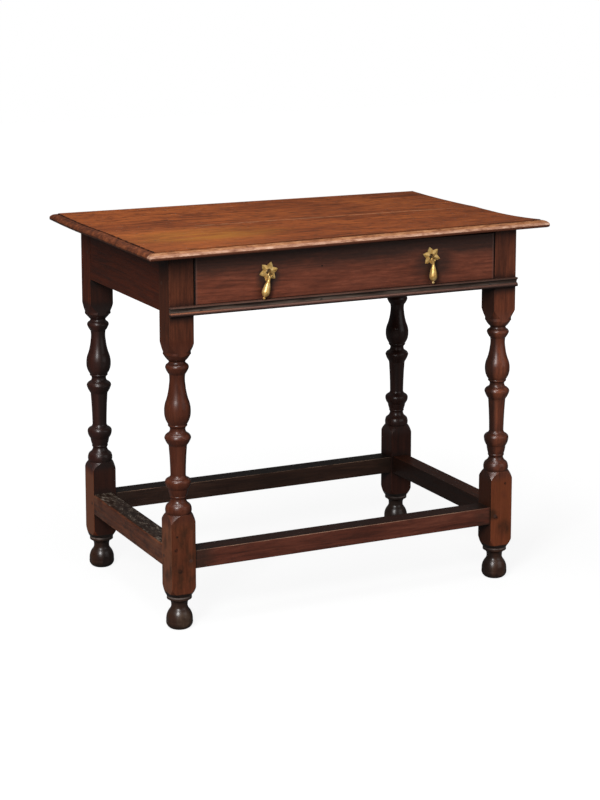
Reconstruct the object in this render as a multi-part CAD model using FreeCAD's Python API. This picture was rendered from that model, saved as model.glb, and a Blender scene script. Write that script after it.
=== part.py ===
import FreeCAD, Part
import math
import os

from FreeCAD import Vector

# A joined oak side table with one drawer, four turned legs, a box of four
# stretchers and a top of two warped boards with a moulded edge.
# Millimetres.  X runs along the length, the drawer faces -Y, Z is up, and the
# origin is on the floor below the middle of the table.

# ---------------------------------------------------------------- frame
FRAME_HEIGHT = 698.5
LEG_SQUARE = 48.0
LEG_SPACING_X = 678.0
LEG_SPACING_Y = 408.0
LEG_ARRIS = 1.2
LOWER_BLOCK_BOTTOM = 85.0
LOWER_BLOCK_TOP = 202.0
UPPER_BLOCK_LENGTH = 153.6
# How much further down the upper block of each leg was left square.
UPPER_BLOCK_EXTRA = {"front_left": 5.0, "front_right": 0.0, "back_left": 1.0, "back_right": 0.0}

# ---------------------------------------------------------------- turning of the legs
# Every form as steps of its half outline: (radius, height) ends a line and
# (radius, height, radius, height) is a point on an arc and the arc's end.  The
# heights of the foot are taken from the floor and those of the rest from the
# top of the lower block.  Both are stretched to the room that the blocks leave.
BLOCK_CORNER = 0.72 * LEG_SQUARE
FOOT = [
    (0.0, 0.0),
    (17.0, 0.0),
    (22.9, 4.8, 24.6, 14.5),
    (23.2, 26.0, 18.2, 35.0),
    (15.6, 39.6, 15.4, 44.5),
    (16.9, 50.6, 22.2, 54.6),
    (23.3, 55.4),
    (23.3, 61.5),
    (29.4, 70.0, BLOCK_CORNER, 83.0),
]
LOWEST_RING = [
    (BLOCK_CORNER, 0.0),
    (30.0, 9.0, 24.6, 16.2),
    (23.3, 17.0),
    (24.5, 23.2, 23.4, 29.4),
    (22.4, 31.8, 20.8, 33.5),
    (20.2, 33.9),
    (16.3, 37.6, 14.1, 42.0),
]
CUP = [
    (14.6, 44.2),
    (15.9, 45.9, 15.4, 47.8),
    (17.3, 53.6, 18.8, 61.4),
    (19.6, 62.2),
]
RING_ON_THE_CUP = [
    (23.2, 69.0, 24.2, 74.8),
    (23.2, 79.0, 20.6, 81.6),
    (19.9, 82.1),
    (15.9, 84.9, 14.1, 88.8),
]
COLUMN = [
    (15.0, 121.0, 16.8, 150.6),
    (17.5, 152.4),
]
RING_ON_THE_COLUMN = [
    (22.3, 160.6, 24.5, 167.0),
    (23.0, 171.0, 20.2, 173.6),
    (19.5, 174.1),
    (15.6, 177.0, 14.3, 181.0),
    (14.5, 183.4, 16.4, 186.0),
    (17.8, 187.8, 17.2, 189.7),
]
VASE = [
    (22.4, 199.0, 24.3, 210.0),
    (23.2, 222.5, 20.0, 232.0),
    (16.6, 245.5, 15.0, 257.0),
    (14.2, 267.0, 14.9, 275.0),
]
TOP_RING = [
    (19.2, 281.2, 21.6, 286.8),
    (20.8, 290.6, 18.9, 292.8),
    (18.2, 293.3),
    (15.9, 295.4, 15.0, 298.4),
]
BOWL = [
    (21.3, 305.2, 24.9, 311.6),
    (25.7, 312.0),
    (25.3, 316.8),
    (29.4, 324.8, BLOCK_CORNER, 335.4),
]
LEG_TURNING = (
    LOWEST_RING + CUP + RING_ON_THE_CUP + COLUMN + RING_ON_THE_COLUMN + VASE + TOP_RING + BOWL
)
# Turned by hand: on each leg the forms sit a little higher or lower.  Heights of
# the neck over the lowest ring, the ring on the cup, the ring on the column, the
# vase, the top ring and the bowl, and how far each is raised.
TURNING_STATIONS = (41.0, 75.0, 167.0, 212.0, 287.0, 311.0)
TURNING_SHIFT = {
    "front_left": (1.9, 0.4, -9.7, -4.6, 0.4, 0.7),
    "front_right": (0.3, 6.3, 5.7, 6.5, 1.0, 0.0),
    "back_left": (1.0, 1.9, 2.0, 1.8, 2.7, 2.3),
    "back_right": (2.5, 0.0, 0.7, 2.5, -1.8, 1.0),
}

# ---------------------------------------------------------------- top
BOARD_THICKNESS = 15.0
END_OVERHANG = 52.0
FRONT_OVERHANG = 39.3
BACK_OVERHANG = 39.3
TOP_JOINT_Y = -8.0
TOP_JOINT_EASING = 0.7
# How far the underside of each board has warped clear of the frame: at the
# joint between the boards, in the middle of the board and at its outer edge.
FRONT_BOARD_WARP = {"left": (1.9, 0.8, 0.0), "right": (1.3, 0.9, 7.4)}
BACK_BOARD_WARP = {"left": (1.9, 1.0, 4.0), "right": (1.3, 0.0, 2.0)}

# Edge moulding of the top: a quirk, an ovolo down to the nose and a rounded
# underside.
MOULD_WIDTH = 14.3
QUIRK_DEPTH = 2.0
NOSE_DROP = 9.5
NOSE_UNDERCUT = 4.5
TOP_CORNER_RADIUS = 4.0
TOP_PEG_DIAMETER = 8.0
TOP_PEG_BITE = 32.0

# ---------------------------------------------------------------- aprons and drawer rail
APRON_DEPTH = 105.0
APRON_THICKNESS = 20.0
APRON_SETBACK = 1.0
APRON_TENON_LENGTH = 25.0
APRON_TENON_THICKNESS = 8.0
APRON_TENON_SHOULDER = 12.0
RAIL_HEIGHT = 18.0
RAIL_DEPTH = 40.0
DRAWER_OPENING = 91.5
RAIL_TENON_THICKNESS = 14.0
RAIL_TENON_SHOULDER = 3.0

# ---------------------------------------------------------------- moulding under the drawer
STRIP_HEIGHT = 17.5
STRIP_PROJECTION = 8.5
STRIP_FILLET = 2.6
STRIP_BEAD = 6.2
STRIP_HOLLOW_DEPTH = 5.0
STRIP_NAIL_COUNT = 6

# ---------------------------------------------------------------- stretchers
LONG_STRETCHER_HEIGHT = 34.5
LONG_STRETCHER_WIDTH = 39.0
FRONT_STRETCHER_BOTTOM = 114.2
BACK_STRETCHER_BOTTOM = 118.2
LONG_STRETCHER_SETBACK = 4.0
SIDE_STRETCHER_WIDTH = 38.0
LEFT_STRETCHER_BOTTOM = 116.0
LEFT_STRETCHER_HEIGHT = 40.0
LEFT_STRETCHER_SETBACK = 0.4
RIGHT_STRETCHER_BOTTOM = 119.5
RIGHT_STRETCHER_HEIGHT = 36.0
RIGHT_STRETCHER_SETBACK = 7.5
STRETCHER_TENON_LENGTH = 20.0
STRETCHER_TENON_THICKNESS = 11.0
STRETCHER_TENON_SHOULDER = 5.0
WORN_ARRIS = 5.0
STRETCHER_ARRIS = 1.2

# ---------------------------------------------------------------- pegs and nails
PEG_DIAMETER = 7.0
RAIL_PEG_DIAMETER = 5.0
PEG_LENGTH = 32.0
APRON_PEG_LENGTH = 27.0
APRON_PEG_INSET = 12.5
STRETCHER_PEG_INSET = 9.8
NAIL_DIAMETER = 2.4
NAIL_HEAD_DIAMETER = 5.0
NAIL_HEAD_HEIGHT = 1.0
NAIL_LENGTH = 26.0
GUIDE_NAIL_LENGTH = 29.0

# ---------------------------------------------------------------- drawer
DRAWER_GAP_SIDE = 1.6
DRAWER_GAP_BELOW = 0.3
DRAWER_GAP_ABOVE = 2.0
DRAWER_BACK_GAP = 12.0
DRAWER_FRONT_THICKNESS = 22.0
DRAWER_SIDE_THICKNESS = 12.0
DRAWER_SIDE_DROP = 8.0
DRAWER_BACK_THICKNESS = 12.0
DRAWER_BOTTOM_THICKNESS = 7.0
DRAWER_BOTTOM_LIFT = 9.0
DRAWER_GROOVE_DEPTH = 5.0
DRAWER_LAP_LIP = 9.0
DRAWER_FRONT_ARRIS = 1.0
RUNNER_WIDTH = 50.0
RUNNER_HEIGHT = 12.0
GUIDE_HEIGHT = 20.0
STOP_HEIGHT = 6.0
STOP_LENGTH = 34.0
STOP_DEPTH = 14.0
STOP_SPACING = 400.0
STOP_GAP = 0.2
DRAWER_BOTTOM_FIT = 0.4

# ---------------------------------------------------------------- drop handles
LEFT_HANDLE_X = -167.0
LEFT_HANDLE_RISE = 50.5
RIGHT_HANDLE_X = 174.0
RIGHT_HANDLE_RISE = 54.0
PLATE_TIP_RADIUS = 18.8
PLATE_SHOULDER_RADIUS = 14.9
PLATE_SHOULDER_SHARE = 0.24
PLATE_VALLEY_RADIUS = 11.7
PLATE_PETALS = 6
PLATE_MIDDLE_THICKNESS = 2.3
PLATE_TIP_THICKNESS = 1.2
PLATE_VALLEY_THICKNESS = 0.8
PLATE_BOSS_RADIUS = 5.6
PLATE_BOSS_FOOT = 1.4
PLATE_BOSS_RISE = 2.1
LEFT_PLATE_TURN = 14.0
RIGHT_PLATE_TURN = 44.0
PIN_WIRE_RADIUS = 1.0
PIN_LOOP_RADIUS = 3.4
PIN_STANDOFF = 8.6
PIN_SHANK_RADIUS = 2.1
PIN_PRONG_LENGTH = 13.0
PIN_HOLE_CLEARANCE = 0.1
DROP_EYE_RADIUS = 3.8
DROP_EYE_WIRE = 1.25
DROP_LENGTH = 43.4
DROP_WAIST_RADIUS = 1.7
DROP_WAIST_LENGTH = 0.4
DROP_BALL_RADIUS = 2.6
# The pear's half outline, as steps of radius and distance below its top.
PEAR = [
    (0.0, 0.0),
    (2.7, 0.0),
    (2.7, 1.6),
    (2.4, 4.8, 3.3, 9.4),
    (5.7, 16.6, 7.2, 25.4),
    (5.9, 33.4, DROP_WAIST_RADIUS, 37.2),
]
LEFT_DROP_TILT = 16.0
LINK_CLEARANCE = 0.15

# ---------------------------------------------------------------- derived places
HALF_LEG = LEG_SQUARE / 2
LEG_X = LEG_SPACING_X / 2
LEG_Y = LEG_SPACING_Y / 2
FRAME_X = LEG_X + HALF_LEG
FRAME_Y = LEG_Y + HALF_LEG
INNER_X = LEG_X - HALF_LEG
INNER_Y = LEG_Y - HALF_LEG
TOP_X = FRAME_X + END_OVERHANG
TOP_FRONT_Y = -FRAME_Y - FRONT_OVERHANG
TOP_BACK_Y = FRAME_Y + BACK_OVERHANG
APRON_BOTTOM = FRAME_HEIGHT - APRON_DEPTH
APRON_OUTER_X = FRAME_X - APRON_SETBACK
APRON_INNER_X = APRON_OUTER_X - APRON_THICKNESS
APRON_OUTER_Y = FRAME_Y - APRON_SETBACK
APRON_INNER_Y = APRON_OUTER_Y - APRON_THICKNESS
RAIL_TOP = FRAME_HEIGHT - DRAWER_OPENING
RAIL_BOTTOM = RAIL_TOP - RAIL_HEIGHT
RAIL_BACK_Y = -FRAME_Y + RAIL_DEPTH
LEG_SIDES = {
    "front_left": (-1, -1),
    "front_right": (1, -1),
    "back_left": (-1, 1),
    "back_right": (1, 1),
}
UPPER_BLOCK_BOTTOM = FRAME_HEIGHT - UPPER_BLOCK_LENGTH
BIG = 60.0


# ---------------------------------------------------------------- small helpers
def box(x0, x1, y0, y1, z0, z1):
    """A box between two corners, given in either order."""
    low = Vector(min(x0, x1), min(y0, y1), min(z0, z1))
    return Part.makeBox(abs(x1 - x0), abs(y1 - y0), abs(z1 - z0), low)


def rod(radius, length, start, direction):
    return Part.makeCylinder(radius, length, start, direction)


def cut_all(shape, tools):
    """The shape with every tool cut away, as one clean solid."""
    if not tools:
        return shape
    return shape.cut(Part.makeCompound(tools)).removeSplitter()


def outline_wire(steps, place):
    """A wire from steps that are (u, w) for a line or (u, w, u_end, w_end) for an arc."""
    edges = []
    here = steps[0]
    for step in steps[1:]:
        if len(step) == 2:
            edges.append(Part.makeLine(place(*here), place(*step)))
            here = step
        else:
            middle = (step[0], step[1])
            end = (step[2], step[3])
            edges.append(Part.Arc(place(*here), place(*middle), place(*end)).toShape())
            here = end
    return Part.Wire(edges)


def stretched(steps, start, end):
    """Outline steps whose heights run from 0, stretched to run from start to end."""
    scale = (end - start) / steps[-1][-1]
    result = []
    for step in steps:
        moved = list(step)
        for i in range(1, len(step), 2):
            moved[i] = start + scale * step[i]
        result.append(tuple(moved))
    return result


def save(name, shape):
    """Writes one node, and says what it holds."""
    if not shape.isValid():
        raise ValueError(name + " is not a valid shape")
    solids = shape.Solids
    result = solids[0] if len(solids) == 1 else Part.makeCompound(solids)
    result.exportStep("parts/" + name + ".step")
    print(name, len(solids), round(sum(s.Volume for s in solids)))


# ---------------------------------------------------------------- warped top boards
class Board:
    """One board of the top: its inner joint, its moulded outer edge and its warp."""

    def __init__(self, inner_y, outer_y, warp):
        self.inner_y = inner_y
        self.outer_y = outer_y
        self.out = 1.0 if outer_y > inner_y else -1.0
        self.arris_y = outer_y - self.out * MOULD_WIDTH
        self.middle_y = (inner_y + self.arris_y) / 2
        self.warp = warp

    def end_height(self, end, y):
        """Height of the upper face at one end of the board."""
        joint, middle, edge = self.warp[end]
        t = (y - self.inner_y) / (self.arris_y - self.inner_y)
        t = min(t, 1.0)
        lift = joint * (1 - t) * (1 - 2 * t) + 4 * middle * t * (1 - t) + edge * t * (2 * t - 1)
        return FRAME_HEIGHT + BOARD_THICKNESS + lift

    def height(self, x, y):
        """Height of the upper face anywhere on the board."""
        share = (x + TOP_X) / (2 * TOP_X)
        return (1 - share) * self.end_height("left", y) + share * self.end_height("right", y)

    def moulding(self, top):
        """Steps of the edge moulding, as distance out from the nose and height."""
        return [
            (-MOULD_WIDTH, top - QUIRK_DEPTH),
            (-0.3 * MOULD_WIDTH, top - QUIRK_DEPTH - 0.28 * (NOSE_DROP - QUIRK_DEPTH), 0.0, top - NOSE_DROP),
            (-0.3 * NOSE_UNDERCUT, top - NOSE_DROP - 0.62 * (BOARD_THICKNESS - NOSE_DROP),
             -NOSE_UNDERCUT, top - BOARD_THICKNESS),
        ]

    def long_section(self, end):
        """The board's section across its width, at one end, with the outer edge moulded."""
        x = -TOP_X if end == "left" else TOP_X
        joint_top = self.end_height(end, self.inner_y)
        middle_top = self.end_height(end, self.middle_y)
        edge_top = self.end_height(end, self.arris_y)
        span = abs(self.outer_y - self.inner_y)
        middle = -abs(self.outer_y - self.middle_y)
        eased = TOP_JOINT_EASING
        steps = [(-span, joint_top - eased), (-span + eased, joint_top)]
        steps.append((middle, middle_top, -MOULD_WIDTH, edge_top))
        steps += self.moulding(edge_top)
        steps.append((middle, middle_top - BOARD_THICKNESS, -span, joint_top - BOARD_THICKNESS))
        steps.append((-span, joint_top - eased))
        return outline_wire(steps, lambda u, w: Vector(x, self.outer_y + self.out * u, w))

    def cross_section(self, y):
        """A section along the length, moulded at both ends and open above and below."""
        left = self.end_height("left", y)
        right = self.end_height("right", y)
        left_edge = [(-MOULD_WIDTH, left + BIG), (-MOULD_WIDTH, left - QUIRK_DEPTH)]
        left_edge += self.moulding(left)[1:]
        left_edge.append((-NOSE_UNDERCUT, left - BIG))
        right_edge = [(-MOULD_WIDTH, right + BIG), (-MOULD_WIDTH, right - QUIRK_DEPTH)]
        right_edge += self.moulding(right)[1:]
        right_edge.append((-NOSE_UNDERCUT, right - BIG))
        left_wire = outline_wire(left_edge, lambda u, w: Vector(-TOP_X - u, y, w))
        right_wire = outline_wire(right_edge, lambda u, w: Vector(TOP_X + u, y, w))
        top_line = Part.makeLine(
            Vector(-TOP_X + MOULD_WIDTH, y, left + BIG), Vector(TOP_X - MOULD_WIDTH, y, right + BIG)
        )
        bottom_line = Part.makeLine(
            Vector(-TOP_X + NOSE_UNDERCUT, y, left - BIG), Vector(TOP_X - NOSE_UNDERCUT, y, right - BIG)
        )
        ordered = Part.sortEdges(left_wire.Edges + [bottom_line] + right_wire.Edges + [top_line])[0]
        return Part.Wire(ordered)

    def solid(self):
        """The warped board, moulded along its outer edge and across both ends."""
        across = Part.makeLoft([self.long_section("left"), self.long_section("right")], True, True)
        stations = [self.inner_y - self.out, self.middle_y, self.arris_y, self.outer_y + self.out]
        sections = [self.cross_section(y) for y in stations]
        along = Part.makeLoft(sections, True, True)
        return cut_all(across.common(along), worn_corners())


def worn_corners():
    """What is worn off the four corners of the top, seen from above."""
    corners = []
    for side_x in (-1, 1):
        for side_y, end_y in ((-1, TOP_FRONT_Y), (1, TOP_BACK_Y)):
            x = side_x * (TOP_X - TOP_CORNER_RADIUS)
            y = end_y - side_y * TOP_CORNER_RADIUS
            low = FRAME_HEIGHT - BIG
            square = box(x, x + side_x * BIG, y, y + side_y * BIG, low, low + 2 * BIG)
            post = rod(TOP_CORNER_RADIUS, 2 * BIG, Vector(x, y, low), Vector(0, 0, 1))
            corners.append(square.cut(post))
    return corners


def top_pegs(front_board, back_board):
    """Oak pegs that hold the top down, as (board, x, y)."""
    side_x = APRON_OUTER_X - APRON_THICKNESS / 2
    back_y = APRON_OUTER_Y - APRON_THICKNESS / 2
    places = []
    for x in (-side_x, side_x):
        places.append((front_board, x, -0.75 * INNER_Y))
        places.append((front_board, x, -0.25 * INNER_Y))
        places.append((back_board, x, 0.25 * INNER_Y))
        places.append((back_board, x, 0.75 * INNER_Y))
    for x in (-0.6 * INNER_X, 0.0, 0.6 * INNER_X):
        places.append((back_board, x, back_y))
    return places


def top_peg(place):
    board, x, y = place
    low = FRAME_HEIGHT - TOP_PEG_BITE
    return rod(TOP_PEG_DIAMETER / 2, board.height(x, y) - low, Vector(x, y, low), Vector(0, 0, 1))


# ---------------------------------------------------------------- legs
def turning_lift(name, height):
    """How far a form of the turning is raised on one leg, at a height in LEG_TURNING."""
    lifts = TURNING_SHIFT[name]
    for i in range(1, len(TURNING_STATIONS)):
        low = TURNING_STATIONS[i - 1]
        high = TURNING_STATIONS[i]
        if low <= height <= high:
            share = (height - low) / (high - low)
            return lifts[i - 1] + share * (lifts[i] - lifts[i - 1])
    return 0.0


def lifted(name, step):
    """One step of the turning, raised as on one leg."""
    moved = list(step)
    for i in range(1, len(step), 2):
        moved[i] = step[i] + turning_lift(name, step[i])
    return tuple(moved)


def leg_profile(name):
    """Half outline of a leg from the floor up."""
    turned = [lifted(name, step) for step in LEG_TURNING]
    outline = stretched(FOOT, 0.0, LOWER_BLOCK_BOTTOM)
    outline += stretched(turned, LOWER_BLOCK_TOP, UPPER_BLOCK_BOTTOM - UPPER_BLOCK_EXTRA[name])
    outline += [(BLOCK_CORNER, FRAME_HEIGHT), (0.0, FRAME_HEIGHT), (0.0, 0.0)]
    return outline


def leg(name):
    """A square post turned between its blocks, with its mortises and peg holes."""
    side_x, side_y = LEG_SIDES[name]
    wire = outline_wire(leg_profile(name), lambda r, z: Vector(r, 0, z))
    turned = Part.Face(wire).revolve(Vector(0, 0, 0), Vector(0, 0, 1), 360)
    post = box(-HALF_LEG, HALF_LEG, -HALF_LEG, HALF_LEG, 0, FRAME_HEIGHT)
    post = rounded_edges(post, LEG_ARRIS, lambda e: lies_along(e, 2))
    shape = turned.common(post)
    shape.translate(Vector(side_x * LEG_X, side_y * LEG_Y, 0))
    return cut_all(shape, TENONS + FRAME_PEGS + STRIP_NAILS)


# ---------------------------------------------------------------- rails with tenons
def rail_along_x(y0, y1, z0, z1, tenon_y, tenon_z):
    """A rail between two legs along X, as (rail body, its two tenons)."""
    body = box(-INNER_X, INNER_X, y0, y1, z0, z1)
    return body, [
        box(side * INNER_X, side * (INNER_X + tenon_y[2]), tenon_y[0], tenon_y[1], tenon_z[0], tenon_z[1])
        for side in (-1, 1)
    ]


def rail_along_y(x0, x1, z0, z1, tenon_x, tenon_z):
    """A rail between two legs along Y, as (rail body, its two tenons)."""
    body = box(x0, x1, -INNER_Y, INNER_Y, z0, z1)
    return body, [
        box(tenon_x[0], tenon_x[1], side * INNER_Y, side * (INNER_Y + tenon_x[2]), tenon_z[0], tenon_z[1])
        for side in (-1, 1)
    ]


def middle_band(a, b, thickness):
    """The middle band of a board's thickness, where its tenon is."""
    centre = (a + b) / 2
    return centre - thickness / 2, centre + thickness / 2


def side_apron(side):
    tenon = middle_band(side * APRON_INNER_X, side * APRON_OUTER_X, APRON_TENON_THICKNESS)
    heights = (APRON_BOTTOM + APRON_TENON_SHOULDER, FRAME_HEIGHT - APRON_TENON_SHOULDER)
    return rail_along_y(
        side * APRON_INNER_X, side * APRON_OUTER_X, APRON_BOTTOM, FRAME_HEIGHT,
        (tenon[0], tenon[1], APRON_TENON_LENGTH), heights,
    )


def back_apron():
    tenon = middle_band(APRON_INNER_Y, APRON_OUTER_Y, APRON_TENON_THICKNESS)
    heights = (APRON_BOTTOM + APRON_TENON_SHOULDER, FRAME_HEIGHT - APRON_TENON_SHOULDER)
    return rail_along_x(
        APRON_INNER_Y, APRON_OUTER_Y, APRON_BOTTOM, FRAME_HEIGHT,
        (tenon[0], tenon[1], APRON_TENON_LENGTH), heights,
    )


def front_rail():
    tenon = middle_band(-FRAME_Y, RAIL_BACK_Y, RAIL_TENON_THICKNESS)
    heights = (RAIL_BOTTOM + RAIL_TENON_SHOULDER, RAIL_TOP - RAIL_TENON_SHOULDER)
    return rail_along_x(
        -FRAME_Y, RAIL_BACK_Y, RAIL_BOTTOM, RAIL_TOP,
        (tenon[0], tenon[1], STRETCHER_TENON_LENGTH), heights,
    )


def long_stretcher(side, bottom):
    """The front stretcher for side -1, the back one for side 1."""
    outer = side * (FRAME_Y - LONG_STRETCHER_SETBACK)
    inner = outer - side * LONG_STRETCHER_WIDTH
    top = bottom + LONG_STRETCHER_HEIGHT
    tenon = middle_band(outer, inner, STRETCHER_TENON_THICKNESS)
    heights = (bottom + STRETCHER_TENON_SHOULDER, top - STRETCHER_TENON_SHOULDER)
    body, tenons = rail_along_x(
        outer, inner, bottom, top,
        (tenon[0], tenon[1], STRETCHER_TENON_LENGTH), heights,
    )
    return rounded_edges(body, STRETCHER_ARRIS, lambda e: lies_along(e, 0)), tenons


def side_stretcher(side, bottom, height, setback):
    outer = side * (FRAME_X - setback)
    inner = outer - side * SIDE_STRETCHER_WIDTH
    top = bottom + height
    tenon_centre = side * (LEG_X + STRETCHER_TENON_THICKNESS / 2)
    tenon = middle_band(tenon_centre, tenon_centre, STRETCHER_TENON_THICKNESS)
    heights = (bottom + STRETCHER_TENON_SHOULDER, top - STRETCHER_TENON_SHOULDER)
    body, tenons = rail_along_y(
        outer, inner, bottom, top,
        (tenon[0], tenon[1], STRETCHER_TENON_LENGTH), heights,
    )
    worn = rounded_edges(body, WORN_ARRIS, lambda e: lies_along(e, 1) and at_corner(e, outer, top))
    return worn, tenons


def lies_along(edge, axis):
    ends = [v.Point for v in edge.Vertexes]
    return len(ends) == 2 and all(abs(ends[0][i] - ends[1][i]) < 1e-6 for i in range(3) if i != axis)


def at_corner(edge, x, z):
    point = edge.Vertexes[0].Point
    return abs(point.x - x) < 1e-6 and abs(point.z - z) < 1e-6


def at_front(edge, y):
    return all(abs(v.Point.y - y) < 1e-6 for v in edge.Vertexes)


def rounded_edges(shape, radius, chosen):
    return shape.makeFillet(radius, [e for e in shape.Edges if chosen(e)])


# ---------------------------------------------------------------- pegs through the tenons
def frame_pegs():
    """Pegs through every mortise, as (apron pegs, stretcher pegs)."""
    apron_pegs = []
    stretcher_pegs = []
    apron_z = (APRON_BOTTOM + FRAME_HEIGHT) / 2
    rail_z = (RAIL_BOTTOM + RAIL_TOP) / 2
    half_long = LONG_STRETCHER_HEIGHT / 2
    long_z = {-1: FRONT_STRETCHER_BOTTOM + half_long, 1: BACK_STRETCHER_BOTTOM + half_long}
    side_z = {
        -1: LEFT_STRETCHER_BOTTOM + LEFT_STRETCHER_HEIGHT / 2,
        1: RIGHT_STRETCHER_BOTTOM + RIGHT_STRETCHER_HEIGHT / 2,
    }
    for side_x, side_y in LEG_SIDES.values():
        outer_x = Vector(side_x * FRAME_X, side_y * (INNER_Y + APRON_PEG_INSET), apron_z)
        apron_pegs.append(rod(PEG_DIAMETER / 2, APRON_PEG_LENGTH, outer_x, Vector(-side_x, 0, 0)))
        low_x = Vector(side_x * FRAME_X, side_y * (INNER_Y + STRETCHER_PEG_INSET), side_z[side_x])
        stretcher_pegs.append(rod(PEG_DIAMETER / 2, PEG_LENGTH, low_x, Vector(-side_x, 0, 0)))
        low_y = Vector(side_x * (INNER_X + STRETCHER_PEG_INSET), side_y * FRAME_Y, long_z[side_y])
        stretcher_pegs.append(rod(PEG_DIAMETER / 2, PEG_LENGTH, low_y, Vector(0, -side_y, 0)))
        if side_y > 0:
            high_y = Vector(side_x * (INNER_X + APRON_PEG_INSET), FRAME_Y, apron_z)
            apron_pegs.append(rod(PEG_DIAMETER / 2, APRON_PEG_LENGTH, high_y, Vector(0, -1, 0)))
        else:
            rail_y = Vector(side_x * (INNER_X + STRETCHER_PEG_INSET), -FRAME_Y, rail_z)
            apron_pegs.append(rod(RAIL_PEG_DIAMETER / 2, PEG_LENGTH, rail_y, Vector(0, 1, 0)))
    return apron_pegs, stretcher_pegs


# ---------------------------------------------------------------- nails
def nail(head, direction, length=NAIL_LENGTH):
    """A cut nail whose head is let in flush at the point head."""
    shank = rod(NAIL_DIAMETER / 2, length, head, direction)
    cap = rod(NAIL_HEAD_DIAMETER / 2, NAIL_HEAD_HEIGHT, head, direction)
    return shank.fuse(cap).removeSplitter()


# ---------------------------------------------------------------- moulding strip
def strip_section(x):
    """Fillet, hollow and bead, seen along the strip."""
    face = -FRAME_Y
    bottom = RAIL_TOP - STRIP_HEIGHT
    hollow_out = STRIP_PROJECTION - STRIP_HOLLOW_DEPTH
    hollow_low = bottom + STRIP_BEAD + 1.0
    hollow_top = RAIL_TOP - STRIP_FILLET
    hollow_middle = (hollow_low + hollow_top) / 2
    steps = [
        (0.0, RAIL_TOP),
        (STRIP_PROJECTION - 0.8, RAIL_TOP),
        (STRIP_PROJECTION - 0.8, hollow_top),
        (hollow_out + 0.8, hollow_middle + 1.2, hollow_out, hollow_low),
        (STRIP_PROJECTION - 2.0, hollow_low),
        (STRIP_PROJECTION - 2.0, bottom + STRIP_BEAD),
        (STRIP_PROJECTION, bottom + STRIP_BEAD / 2, STRIP_PROJECTION - 2.0, bottom),
        (0.0, bottom),
        (0.0, RAIL_TOP),
    ]
    return outline_wire(steps, lambda u, w: Vector(x, face - u, w))


def strip_nails():
    nails = []
    hollow_z = RAIL_TOP - STRIP_HEIGHT / 2
    depth = STRIP_PROJECTION - STRIP_HOLLOW_DEPTH
    for i in range(STRIP_NAIL_COUNT):
        x = -FRAME_X + (i + 0.5) * 2 * FRAME_X / STRIP_NAIL_COUNT
        nails.append(nail(Vector(x, -FRAME_Y - depth - 0.2, hollow_z), Vector(0, 1, 0)))
    return nails


# ---------------------------------------------------------------- drawer
DRAWER_X = INNER_X - DRAWER_GAP_SIDE
DRAWER_Z0 = RAIL_TOP + DRAWER_GAP_BELOW
DRAWER_Z1 = FRAME_HEIGHT - DRAWER_GAP_ABOVE
DRAWER_FRONT_Y = -FRAME_Y
DRAWER_BACK_Y = APRON_INNER_Y - DRAWER_BACK_GAP
SIDE_TOP = DRAWER_Z1 - DRAWER_SIDE_DROP
BOTTOM_Z0 = DRAWER_Z0 + DRAWER_BOTTOM_LIFT
BOTTOM_Z1 = BOTTOM_Z0 + DRAWER_BOTTOM_THICKNESS
LAP_Y = DRAWER_FRONT_Y + DRAWER_LAP_LIP
FRONT_INNER_Y = DRAWER_FRONT_Y + DRAWER_FRONT_THICKNESS
SIDE_INNER_X = DRAWER_X - DRAWER_SIDE_THICKNESS
BACK_FACE_Y = DRAWER_BACK_Y - DRAWER_BACK_THICKNESS


def bottom_board_space(clearance):
    """The bottom board, or with a clearance the grooves that take it."""
    reach = SIDE_INNER_X + DRAWER_GROOVE_DEPTH - DRAWER_BOTTOM_FIT + clearance
    front = FRONT_INNER_Y - DRAWER_GROOVE_DEPTH + DRAWER_BOTTOM_FIT - clearance
    return box(-reach, reach, front, DRAWER_BACK_Y, BOTTOM_Z0, BOTTOM_Z1)


def drawer_nails():
    """Nails through the sides into the front and back, and up through the bottom."""
    nails = []
    rise = SIDE_TOP - BOTTOM_Z1
    lap_y = (LAP_Y + FRONT_INNER_Y) / 2
    back_y = (BACK_FACE_Y + DRAWER_BACK_Y) / 2
    for side in (-1, 1):
        for share in (0.2, 0.8):
            z = BOTTOM_Z1 + share * rise
            head = Vector(side * DRAWER_X, back_y, z)
            nails.append(nail(head, Vector(-side, 0, 0)))
            head = Vector(side * DRAWER_X, lap_y, z)
            nails.append(nail(head, Vector(-side, 0, 0)))
    for share in (-0.8, -0.3, 0.3, 0.8):
        head = Vector(share * SIDE_INNER_X, back_y, BOTTOM_Z0)
        nails.append(nail(head, Vector(0, 0, 1)))
    return nails


def drawer_front(holes):
    """The front board, rebated at both ends for the sides and grooved for the bottom."""
    board = box(-DRAWER_X, DRAWER_X, DRAWER_FRONT_Y, FRONT_INNER_Y, DRAWER_Z0, DRAWER_Z1)
    board = rounded_edges(board, DRAWER_FRONT_ARRIS, lambda e: at_front(e, DRAWER_FRONT_Y))
    laps = [
        box(side * SIDE_INNER_X, side * (DRAWER_X + 1), LAP_Y, FRONT_INNER_Y + 1, DRAWER_Z0 - 1, SIDE_TOP)
        for side in (-1, 1)
    ]
    groove = box(
        -SIDE_INNER_X, SIDE_INNER_X, FRONT_INNER_Y - DRAWER_GROOVE_DEPTH, FRONT_INNER_Y + 1,
        BOTTOM_Z0, BOTTOM_Z1,
    )
    return cut_all(board, laps + [groove] + holes)


def drawer_side(side, nails):
    board = box(side * SIDE_INNER_X, side * DRAWER_X, LAP_Y, DRAWER_BACK_Y, DRAWER_Z0, SIDE_TOP)
    return cut_all(board, [bottom_board_space(DRAWER_BOTTOM_FIT)] + nails)


def drawer_back(nails):
    board = box(-SIDE_INNER_X, SIDE_INNER_X, BACK_FACE_Y, DRAWER_BACK_Y, BOTTOM_Z1, SIDE_TOP)
    return cut_all(board, nails)


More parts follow.
